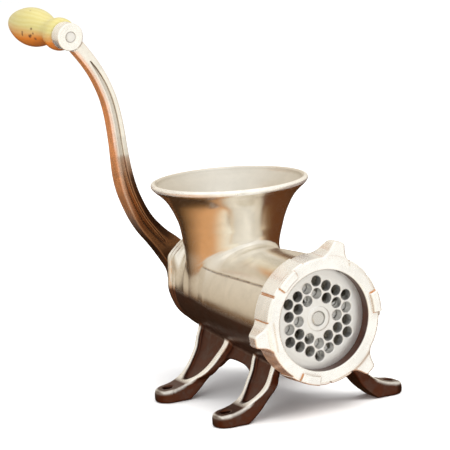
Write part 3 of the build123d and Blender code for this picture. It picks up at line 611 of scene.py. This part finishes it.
# Painted reflection: the barrel's underside is darkened brown below a sharp line, as if mirroring a dark table; the
# seam line along the saddle is darkened too.
belly = np.clip((-turn + 0.01 + 0.06 * np.clip((-45.0 - vx) / 35.0, 0, 1)) / 0.13, 0, 1) * (rb < 58) * (vz < 95) * np.clip((67.5 - vx) / 0.8, 0, 1) * (1 - inside)
seam = np.clip(1 - np.abs((turn - SADDLE) * rb + 0.9) / 0.95, 0, 1) * np.clip((vx + 58) / 6, 0, 1) * np.clip((66 - vx) / 1.0, 0, 1) * (rb < 56) * (1 - inside)
patina = np.clip(np.maximum(np.maximum(legs, 0.94 * belly), 0.8 * seam), 0, 1)
# Painted highlight: the hopper's rim, the leg ribs (crest) and the feet's top front edges (lip) are marked bright.
rim = np.clip((np.hypot(vx - HOPPER_X, v[:, 1]) - 69.2) / 1.2, 0, 1) * np.clip((vh - 189.0) / 0.8, 0, 1)
hole_edge = np.clip((np.hypot(np.abs(vx) - LEG_X, vy - LEG_Y) - 7.0) / 1.5, 0, 1)
lip = 0.7 * edge * legs * hole_edge * np.clip((vy - 62) / 6, 0, 1) * np.clip((vz - 7.5) / 2, 0, 1)
bright = np.clip(np.maximum(np.maximum(crest, rim), lip), 0, 1)
body = add_mesh("casting_body", v, q, M_BODY, marks={"inside": inside, "patina": patina, "bright": bright})
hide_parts("body_casting")
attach(body, "frame")

# ------------------------------------------------------------------ ring nut
ring_pts = [(67.4, 54.2), (67.4, 56.8), (67.8, 57.5), (68.6, 57.8), (89.7, 56.95), (90.7, 56.5), (91.2, 55.8), (91.4, 54.9),
            (91.4, 47.0), (91.2, 46.2), (90.6, 45.6), (80.3, 45.6), (80.3, 53.3), (68.2, 53.3)]
T_RING = Outline(ring_pts, step=0.4)
lug_half = [(13.0, 52.0), (12.2, 56.6), (9.8, 59.6), (8.4, 62.0), (6.2, 68.6), (5.6, 69.8), (4.6, 70.7), (3.2, 71.0)]
T_LUG = Outline([(-u, r) for u, r in lug_half] + lug_half[::-1], step=0.4)
T_LAND = Outline([(68.2, 54.6), (68.2, 58.6), (68.8, 59.2), (90.1, 58.3), (90.8, 57.5), (90.8, 54.6)], step=0.4)
T_BLOCK = Outline([(89.0, 50.0), (93.8, 50.0), (94.4, 50.5), (94.4, 56.9), (93.9, 57.8), (93.0, 58.2), (89.0, 58.3)], step=0.4)
LUGS = [math.radians(a) for a in (74.0, 187.5, 311.0)]
PADS = [math.radians(a) for a in (10.0, 130.8, 251.0)]
LANDS = [(math.radians(-58.3), math.radians(19.7)), (math.radians(-25.45), math.radians(10.95))]


def wedge(u, w, half):
    return np.abs(u) * math.cos(half) - w * math.sin(half)


def ring_field(x, y, z):
    zc = z - AXIS_Z
    r = np.hypot(y, zc)
    f = T_RING(x, r)
    land, block = T_LAND(x, r), T_BLOCK(x, r)
    for a in LUGS:
        u = zc * math.cos(a) - y * math.sin(a)
        w = y * math.cos(a) + zc * math.sin(a)
        back = smax(67.8 - x, (67.8 + (w - 59.0) * 0.85 - x) * 0.762, 3.0)
        lug = smax(T_LUG(u, w), smax(back, x - 91.0, 2.0), 2.2)
        for mid, half in LANDS:
            u1 = zc * math.cos(a + mid) - y * math.sin(a + mid)
            w1 = y * math.cos(a + mid) + zc * math.sin(a + mid)
            f = smin(f, smax(land, wedge(u1, w1, half), 0.7), 0.6)
        f = smin(f, np.where(w > 0, lug, 60), 2.6)
    for a in PADS:
        u = zc * math.cos(a) - y * math.sin(a)
        w = y * math.cos(a) + zc * math.sin(a)
        f = smin(f, smax(block, wedge(u, w, math.radians(10.0)), 0.8), 0.6)
    return np.maximum(f, np.where(x < 80.3, 53.3 - r, 45.6 - r))


v, q = surface(ring_field, (65.4, -74, AXIS_Z - 74), (97.4, 74, AXIS_Z + 74), 0.55)
rr = np.hypot(v[:, 1], v[:, 2] - AXIS_Z)
# Painted shade: the bore between the ring's lip and the plate is darkened nearly black.
bore = np.clip((46.6 - rr) / 0.8, 0, 1) * np.clip((91.0 - v[:, 0]) / 0.8, 0, 1)
turn = convexity(v, q, 1)
nz = normals(v, q)[:, 2]
# Painted shade and reflection: concave steps on the ring's outside are lined orange-brown, and its downward-facing
# outer surface gets an orange-brown painted reflection.
under = np.clip((-nz - 0.12) / 0.35, 0, 1) * np.clip((rr - 56.0) / 1.0, 0, 1) * (v[:, 2] < AXIS_Z + 8)
rust = np.maximum(np.clip((-turn - 0.05) / 0.22, 0, 1) * (rr > 50), 0.85 * under)
# Painted highlight on the ring's convex edges, kept off the bore and the underside.
bright = 0.6 * np.clip((turn - 0.08) / 0.25, 0, 1) * (1 - bore) * (1 - under)
ring = add_mesh("ring_nut_cast", v, q, M_RING, marks={"patina": bore, "rust": rust, "bright": bright})
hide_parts("ring_nut")
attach(ring, "ring")

# ------------------------------------------------------------------ crank
ARM = np.array([(0.0, 0.0, 15.0), (-14.2, 17.5, 14.6), (-25.9, 32.8, 12.6), (-34.9, 43.1, 10.4), (-44.4, 55.3, 9.4), (-50.2, 65.9, 8.8),
                (-55.2, 78.5, 8.3), (-59.9, 92.6, 7.9), (-63.4, 107.4, 7.6), (-65.8, 123.1, 7.3), (-67.3, 136.6, 7.1), (-68.8, 151.0, 6.9),
                (-71.0, 166.0, 6.7), (-74.3, 180.4, 6.6), (-79.0, 193.2, 6.5), (-85.3, 206.3, 6.4), (-93.1, 218.7, 6.4), (-102.3, 230.9, 6.5), (GRIP_Y, GRIP_Z, 6.6)])
ARM_FINE = np.array(curve([tuple(p) for p in ARM], 8))
ARM_S = np.concatenate([[0], np.cumsum(np.hypot(*np.diff(ARM_FINE[:, :2], axis=0).T))])


class ArmMap:
    """Signed side distance, half width and length along the arm, over the Y-Z plane."""

    def __init__(self, step=0.5):
        self.lo = np.array([GRIP_Y - 30, -40.0])
        self.step = step
        n = np.array([int((170) / step), int((320) / step)])
        y = self.lo[0] + np.arange(n[0])[:, None] * step
        z = self.lo[1] + np.arange(n[1])[None, :] * step
        best = np.full((n[0], n[1]), 1e9)
        side = np.zeros_like(best)
        wid = np.zeros_like(best)
        along = np.zeros_like(best)
        P = ARM_FINE
        for i in range(len(P) - 1):
            a, b = P[i], P[i + 1]
            e = b[:2] - a[:2]
            L = e @ e
            t = np.clip(((y - a[0]) * e[0] + (z - a[1]) * e[1]) / L, 0, 1)
            dy = y - a[0] - t * e[0]
            dz = z - a[1] - t * e[1]
            d = np.hypot(dy, dz)
            m = d < best
            best = np.where(m, d, best)
            side = np.where(m, np.sign(dy * e[1] - dz * e[0]) * d, side)
            wid = np.where(m, a[2] + (b[2] - a[2]) * t, wid)
            along = np.where(m, ARM_S[i] + t * math.sqrt(L), along)
        self.tabs = [best.astype(F), wid.astype(F), along.astype(F), side.astype(F)]
        self.n = n

    def __call__(self, y, z):
        a = np.clip((y - self.lo[0]) / self.step, 0, self.n[0] - 1.001)
        b = np.clip((z - self.lo[1]) / self.step, 0, self.n[1] - 1.001)
        i = a.astype(np.int32)
        j = b.astype(np.int32)
        fa = (a - i).astype(F)
        fb = (b - j).astype(F)
        return [(t[i, j] * (1 - fa) + t[i + 1, j] * fa) * (1 - fb) + (t[i, j + 1] * (1 - fa) + t[i + 1, j + 1] * fa) * fb for t in self.tabs]


ARM_MAP = ArmMap()


def arm_field(x, y, z):
    zc = z - AXIS_Z
    d, w, s, _ = ARM_MAP(y, zc)
    t = np.clip((zc - 6.0) / 84.0, 0, 1)
    g = np.clip((zc - 92.0) / 46.0, 0, 1)
    grow = 2.25 * (1 - 3 * g * g + 2 * g ** 3)
    ax = np.abs(x + grow + 146.0 + 17.0 * (3 * t * t - 2 * t ** 3)) - grow
    f = smax(d - w, ax - 6.5, 1.8)
    ends = np.clip((s - 50.0) / 22.0, 0, 1) * np.clip((ARM_S[-1] - 31.0 - s) / 26.0, 0, 1)
    groove = smax((d - 0.28 * w * np.sqrt(ends)) * 0.9, 3.8 - ax, 0.7)
    groove = np.where(ends > 0.02, groove, 9.0)
    f = smax(f, -groove, 0.8)
    rh = np.hypot(y, zc)
    hub = smax(rh - 22.0, np.abs(x + 147.0) - 14.0, 4.0)
    f = smin(f, hub, 12.0)
    # eye, leaning with the grip's axis
    dx, dz = x - EYE_X, zc - GRIP_Z
    a = dx * math.cos(LEAN) - dz * math.sin(LEAN)
    b = dx * math.sin(LEAN) + dz * math.cos(LEAN)
    re = np.hypot(y - GRIP_Y, b)
    eye = smax(re - 13.0, np.abs(a + 7.25) - 7.25, 1.1)
    rings = np.where(a > -3, 0.16 * np.cos(re * 2.6) * (re < 11.6) * (re > 5.4), 0)
    f = smin(f, eye + rings, 1.6)
    f = np.maximum(f, np.where(re < 22, np.maximum(a, -14.5 - a), -60))
    f = np.maximum(f, -np.maximum(rh - 11.04, np.abs(zc) - 8.54))
    f = np.maximum(f, -(re - 4.5))
    return np.maximum(f, x + 133.0)


v, q = surface(arm_field, (-174, -130, AXIS_Z - 26), (-130, 26, AXIS_Z + GRIP_Z + 17), 0.66)
zc = v[:, 2] - AXIS_Z
d, w, s, side = ARM_MAP(v[:, 1], zc)
t = np.clip((zc - 6.0) / 84.0, 0, 1)
g = np.clip((zc - 92.0) / 46.0, 0, 1)
grow = 2.25 * (1 - 3 * g * g + 2 * g ** 3)
ax = np.abs(v[:, 0] + grow + 146.0 + 17.0 * (3 * t * t - 2 * t ** 3)) - grow
eye_r = np.hypot(v[:, 1] - GRIP_Y, zc - GRIP_Z)
clear_eye = np.clip((eye_r - 13.4) / 1.5, 0, 1)
# Painted reflection: the arm's flanks, and the left strip of its front face (shade), get a copper-orange tone standing
# in for a warm reflection.
flank = np.clip((d - w + 1.3) / 0.8, 0, 1) * np.clip((6.3 - ax) / 0.8, 0, 1) * clear_eye * np.clip((zc - 20) / 14, 0, 1)
# Painted shade: below the hopper rim's height the arm is darkened brown, standing in for the hopper's shadow and dark
# reflection.
low = np.interp(zc, [80, 106, 119, 124, 127], [1.0, 0.90, 0.72, 0.55, 0.0])
deep = np.clip((122.0 - zc) / 20.0, 0, 1)
crown = np.clip((convexity(v, q, 1) - 0.06) / 0.2, 0, 1)
across = side / np.maximum(w, 1.0)
fluted = np.clip((s - 46.0) / 12.0, 0, 1)
groove_line = np.clip(1 - np.abs(across + 0.27) / 0.14, 0, 1) * fluted
right = np.clip((across - 0.30) / 0.16, 0, 1) * fluted
bottom = np.clip((74.0 - zc) / 40.0, 0, 1)
# Painted shade: the groove line, the right ridge, the arm's bottom near the hub and the lower flanks are darkened, and
# a dark ring is drawn round the pin.
soot = np.clip(deep * (1.0 * groove_line + 0.92 * right * (1 - 0.3 * flank)) + 0.62 * bottom + 0.42 * flank * np.clip((118 - zc) / 44, 0, 1), 0, 0.95)
pin_line = np.clip(1 - np.abs(eye_r - 4.8) / 1.0, 0, 1)
soot = np.maximum(soot, 0.8 * pin_line)
shade = np.clip((-across - 0.40) / 0.48, 0, 1) * clear_eye * np.clip((zc - 60) / 40, 0, 1) * np.clip((s - 46.0) / 20.0, 0, 1)
copper = np.maximum(flank, 0.85 * shade) * np.clip((zc - 44) / 30, 0, 1)
# Painted highlight: the bright mark lightens the upper arm's convex edges and the eye.
arm = add_mesh("crank_arm_cast", v, q, M_ARM, marks={"copper": copper, "patina": low * (1 - 0.72 * copper), "soot": soot,
                                                     "bright": np.maximum(0.3 * crown * (1 - flank), 0.8 * (1 - clear_eye)) * np.clip((zc - 130) / 6, 0, 1) * (1 - pin_line)})
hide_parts("crank_arm")
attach(arm, "crank")


# ------------------------------------------------------------------ turned pieces
def lathe(name, profile, centre, material, spots=(), seg=192):
    """Closed ring of profile points (x, radius) turned about the grip's axis through centre (y, z)."""
    p = np.array(profile, float)
    a = np.linspace(0, 2 * np.pi, seg, endpoint=False)
    n = len(p)
    x = np.repeat(p[:, 0][:, None], seg, 1) - EYE_X
    up = p[:, 1][:, None] * np.sin(a)
    v = np.stack([EYE_X + x * math.cos(LEAN) + up * math.sin(LEAN), centre[0] + p[:, 1][:, None] * np.cos(a), centre[1] + up * math.cos(LEAN) - x * math.sin(LEAN)], -1).reshape(-1, 3)
    i = np.arange(n)[:, None]
    j = np.arange(seg)[None, :]
    i2 = (i + 1) % n
    j2 = (j + 1) % seg
    fcs = np.stack([i * seg + j, i * seg + j2, i2 * seg + j2, i2 * seg + j], -1).reshape(-1, 4)
    # Painted shade mark: grows towards the underside of the turned piece.
    below = np.clip((-np.repeat(np.sin(a)[None, :], n, 0) + 0.30) / 0.66, 0, 2).ravel()
    knot = np.zeros(n * seg)
    for s0, a0, size in spots:
        away = np.hypot(GRIP_X0 - p[:, 0][:, None] - s0, ((a[None, :] - a0 + np.pi) % (2 * np.pi) - np.pi) * p[:, 1][:, None]).ravel()
        knot = np.maximum(knot, np.clip(1.4 - away / size, 0, 1))
    return add_mesh(name, v, fcs, material, marks={"underside_shade": below, "knot": knot})


GRIP_LEN = 106.0
GRIP_X0 = EYE_X - 16.0
gc = curve([(0.4, 12.7), (1.6, 13.9), (4.2, 15.1), (8.0, 15.5), (11.5, 15.2), (15.5, 14.1), (20.0, 12.7), (24.0, 11.7), (28.0, 11.4), (32.0, 11.9), (37.5, 13.5),
            (43.5, 15.4), (50.0, 17.0), (57.0, 18.1), (64.0, 18.4), (71.0, 18.0), (78.0, 16.9), (85.0, 15.2), (92.0, 13.2), (98.0, 11.0), (102.5, 8.9), (104.8, 7.6), (GRIP_LEN, 6.8)], 8)
outer = [(GRIP_X0 - s, r) for s, r in gc]
tip = GRIP_X0 - GRIP_LEN
loop = [(GRIP_X0, 4.6), (GRIP_X0, 10.0), (GRIP_X0, 12.0)] + outer + [(tip + 0.1, 6.4), (tip + 0.6, 6.2), (tip + 5.2, 6.2), (tip + 5.2, 4.6)]
SPOTS = [(52.6, 3.23, 1.1), (53.0, 3.31, 1.0), (53.4, 3.39, 1.1), (39.7, 2.95, 1.2), (42.7, 3.46, 1.7), (41.0, 3.40, 1.2), (36.8, 3.68, 1.4), (37.5, 3.26, 1.0), (70.0, 5.2, 1.1), (60.0, 0.3, 1.0), (48.0, 5.9, 0.8), (80.0, 4.3, 0.9), (57.0, 1.9, 0.7)]
grip = lathe("grip_turned", loop, (GRIP_Y, AXIS_Z + GRIP_Z), M_WOOD, SPOTS)
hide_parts("grip")
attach(grip, "grip")


# ------------------------------------------------------------------ plate
def plate_field(x, y, z):
    zc = z - AXIS_Z
    r = np.hypot(y, zc)
    f = smax(r - 49.5, np.abs(x - 75.5) - 4.5, 1.0)
    boss = smax(r - 11.0, np.abs(x - 75.6) - 5.2, 0.8)
    f = smin(f, boss, 0.8)
    d = np.full_like(r, 99.0)
    for a in range(-3, 4):
        for b in range(-3, 4):
            if max(abs(a), abs(b), abs(a + b)) in (2, 3):
                d = np.minimum(d, np.hypot(y - 11.4 * math.sqrt(3) / 2 * a, zc - 11.4 * (b + a / 2)))
    f = smax(f, -(d - 4.75), 1.0)
    f = smax(f, -(r - 6.75), 0.8)
    c, s = math.cos(math.radians(60)), math.sin(math.radians(60))
    w = y * c + zc * s
    u = -y * s + zc * c
    return smax(f, -smax(np.abs(u) - 2.4, 45.8 - w, 0.8), 0.6)


v, q = surface(plate_field, (69, -51.5, AXIS_Z - 51.5), (83, 51.5, AXIS_Z + 51.5), 0.55)
plate = add_mesh("plate_coarse", v, q, M_PLATE)
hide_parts("grinding_plate")
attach(plate, "plate")

# ------------------------------------------------------------------ pieces kept from the frame
for node, mat in {
    "auger": M_AUGER, "auger_stud": M_STEEL, "knife": M_KNIFE, "rear_bush": M_BRONZE, "thrust_washer": M_FIBRE,
    "plate_key_pin": M_STEEL, "crank_washer": M_STEEL, "crank_screw": M_STEEL, "grip_pin": M_PIN, "grip_washer": M_STEEL, "grip_end_washer": M_STEEL,
}.items():
    ob = NODES[node]
    ob.data.materials.clear()
    ob.data.materials.append(mat)

# ------------------------------------------------------------------ stage
def quad(name, corners, material):
    me = bpy.data.meshes.new(name)
    me.from_pydata([Vector(c) for c in corners], [], [(0, 1, 2, 3)])
    me.materials.append(material)
    ob = bpy.data.objects.new(name, me)
    bpy.context.scene.collection.objects.link(ob)
    return ob


mf, nt, b = new_mat("floor_pale")
b.inputs["Base Color"].default_value = (0.93, 0.93, 0.93, 1)
b.inputs["Roughness"].default_value = 0.9
b.inputs["Specular IOR Level"].default_value = 0.1
floor = quad("floor", [(-6, -6, -0.0002), (6, -6, -0.0002), (6, 6, -0.0002), (-6, 6, -0.0002)], mf)
floor.visible_glossy = False


# Reflection dome: what the bright metal mirrors. Cream in front, orange-brown to the
# machine's right, dark brown below at the back and left, pale above.
def blend_around(az, stops):
    a = np.array([s[0] for s in stops], float)
    c = np.array([s[1] for s in stops], float)
    a = np.concatenate([a - 360, a, a + 360])
    c = np.concatenate([c, c, c])
    return np.stack([np.interp(az, a, c[:, k]) for k in range(c.shape[1])], -1)


CREAM, GOLD, ORANGE = (1.0, 0.94, 0.79), (0.88, 0.70, 0.49), (0.72, 0.37, 0.16)
BROWN, UMBER, SOOT = (0.22, 0.11, 0.042), (0.13, 0.045, 0.015), (0.050, 0.024, 0.011)
WHITE = (1.0, 0.975, 0.92)
LOW = [(-168, SOOT), (-150, BROWN), (-108, ORANGE), (-80, ORANGE), (-60, GOLD), (-38, CREAM), (10, CREAM), (24, WHITE), (36, WHITE), (48, GOLD), (64, BROWN), (85, UMBER), (120, UMBER), (150, SOOT)]
HIGH = [(-150, (0.82, 0.74, 0.62)), (-90, (0.92, 0.88, 0.80)), (0, (1.05, 1.03, 0.98)), (90, (0.82, 0.75, 0.64)), (180, (0.84, 0.76, 0.64))]
EDGE = [(-150, (-11.0,)), (-125, (-11.0,)), (-100, (-7.0,)), (-60, (-6.0,)), (0, (-5.0,)), (60, (-3.0,)), (110, (-3.0,)), (180, (-6.0,))]
n_az, n_el = 240, 181
az = np.linspace(-180, 180, n_az, endpoint=False)
el = np.linspace(-90, 90, n_el)
AZ, EL = np.meshgrid(az, el, indexing="ij")
low, high, edge = blend_around(AZ, LOW), blend_around(AZ, HIGH), blend_around(AZ, EDGE)[..., 0]
back = 0.5 - 0.5 * np.cos(np.radians(AZ))
high = high * (1 - 0.30 * back * np.clip((28 - EL) / 36, 0, 1) ** 1.2)[..., None] ** np.array([1.0, 1.25, 1.6])
t = np.clip((EL - edge) / 4.0 + 0.5, 0, 1)[..., None]
sky = low + (high - low) * t * t * (3 - 2 * t)
zen = np.clip((EL - 35) / 45, 0, 1)[..., None]
sky = sky + (np.array([1.02, 1.0, 0.95]) - sky) * zen
dirs3 = np.stack([np.cos(np.radians(EL)) * np.cos(np.radians(AZ)), np.cos(np.radians(EL)) * np.sin(np.radians(AZ)), np.sin(np.radians(EL))], -1)
for (a, e), half, soft, gain in (((-5, 52), 15, 14, 0.10), ((-95, 42), 12, 12, 0.15), ((150, 60), 14, 12, 0.15)):
    c = np.array([math.cos(math.radians(e)) * math.cos(math.radians(a)), math.cos(math.radians(e)) * math.sin(math.radians(a)), math.sin(math.radians(e))])
    ang = np.degrees(np.arccos(np.clip(dirs3 @ c, -1, 1)))
    sky = sky + (gain * np.clip((half + soft - ang) / soft, 0, 1) ** 2)[..., None] * np.array([1.0, 0.98, 0.94])
dv = (dirs3 * 3.0 + np.array([0, 0, 0.1])).reshape(-1, 3)
ii, jj = np.meshgrid(np.arange(n_az), np.arange(n_el - 1), indexing="ij")
i2 = (ii + 1) % n_az
df = np.stack([ii * n_el + jj, ii * n_el + jj + 1, i2 * n_el + jj + 1, i2 * n_el + jj], -1).reshape(-1, 4)
me = bpy.data.meshes.new("reflection_dome")
me.from_pydata(dv.tolist(), [], df.tolist())
at = me.attributes.new("sky", "FLOAT_COLOR", "POINT")
at.data.foreach_set("color", np.concatenate([sky.reshape(-1, 3), np.ones((len(dv), 1))], 1).astype(F).ravel())
md = bpy.data.materials.new("reflection_dome")
md.use_nodes = True
nt = md.node_tree
nt.nodes.clear()
out = nt.nodes.new("ShaderNodeOutputMaterial")
em = nt.nodes.new("ShaderNodeEmission")
an = nt.nodes.new("ShaderNodeAttribute")
an.attribute_name = "sky"
nt.links.new(an.outputs["Color"], em.inputs["Color"])
nt.links.new(em.outputs[0], out.inputs[0])
md.cycles.emission_sampling = "NONE"
me.materials.append(md)
dome = bpy.data.objects.new("reflection_dome", me)
bpy.context.scene.collection.objects.link(dome)
dome.visible_camera = False
dome.visible_diffuse = False
dome.visible_shadow = False
dome.visible_transmission = False
dome.visible_volume_scatter = False

# camera from the picture's perspective
A, E, ROLL = math.radians(28.405), math.radians(11.279), math.radians(3.184)
FPX, DIST, TX, TZ = 2763.12, 2.54171, -0.04636, 0.15678
d = Vector((-math.cos(A) * math.cos(E), math.sin(A) * math.cos(E), -math.sin(E)))
r0 = Vector((math.sin(A), math.cos(A), 0))
u0 = r0.cross(d)
R = math.cos(ROLL) * r0 - math.sin(ROLL) * u0
U = math.sin(ROLL) * r0 + math.cos(ROLL) * u0
T = TX * R + TZ * U + Vector((-0.005, 0, 0))
cam_data = bpy.data.cameras.new("camera")
cam_data.sensor_width = 36.0
cam_data.sensor_fit = "HORIZONTAL"
cam_data.lens = FPX * 36.0 / 450.0
cam_data.clip_end = 50
cam = bpy.data.objects.new("camera", cam_data)
bpy.context.scene.collection.objects.link(cam)
loc = T - DIST * d
cam.matrix_world = Matrix(((R.x, U.x, -d.x, loc.x), (R.y, U.y, -d.y, loc.y), (R.z, U.z, -d.z, loc.z), (0, 0, 0, 1)))
bpy.context.scene.camera = cam


def area(name, loc, target, size, power, color=(1, 1, 1)):
    L = bpy.data.lights.new(name, "AREA")
    L.shape = "RECTANGLE"
    L.size, L.size_y = size
    L.energy = power
    L.color = color
    o = bpy.data.objects.new(name, L)
    bpy.context.scene.collection.objects.link(o)
    o.location = loc
    o.rotation_euler = (Vector(target) - Vector(loc)).to_track_quat("-Z", "Y").to_euler()
    o.visible_glossy = False
    return o


mid = (0, 0, 0.12)
area("key", (1.3, 0.6, 1.7), mid, (1.2, 1.2), 30, (1.0, 0.98, 0.95))
area("fill", (0.9, -1.6, 0.9), mid, (1.2, 1.0), 14)
area("top", (-0.3, 0.1, 2.2), mid, (1.6, 1.6), 22)

w = bpy.data.worlds.new("studio")
bpy.context.scene.world = w
w.use_nodes = True
bg = w.node_tree.nodes["Background"]
bg.inputs["Color"].default_value = (1, 1, 1, 1)
bg.inputs["Strength"].default_value = 1.0

bpy.context.scene.view_settings.view_transform = "Standard"
bpy.context.scene.view_settings.look = "None"
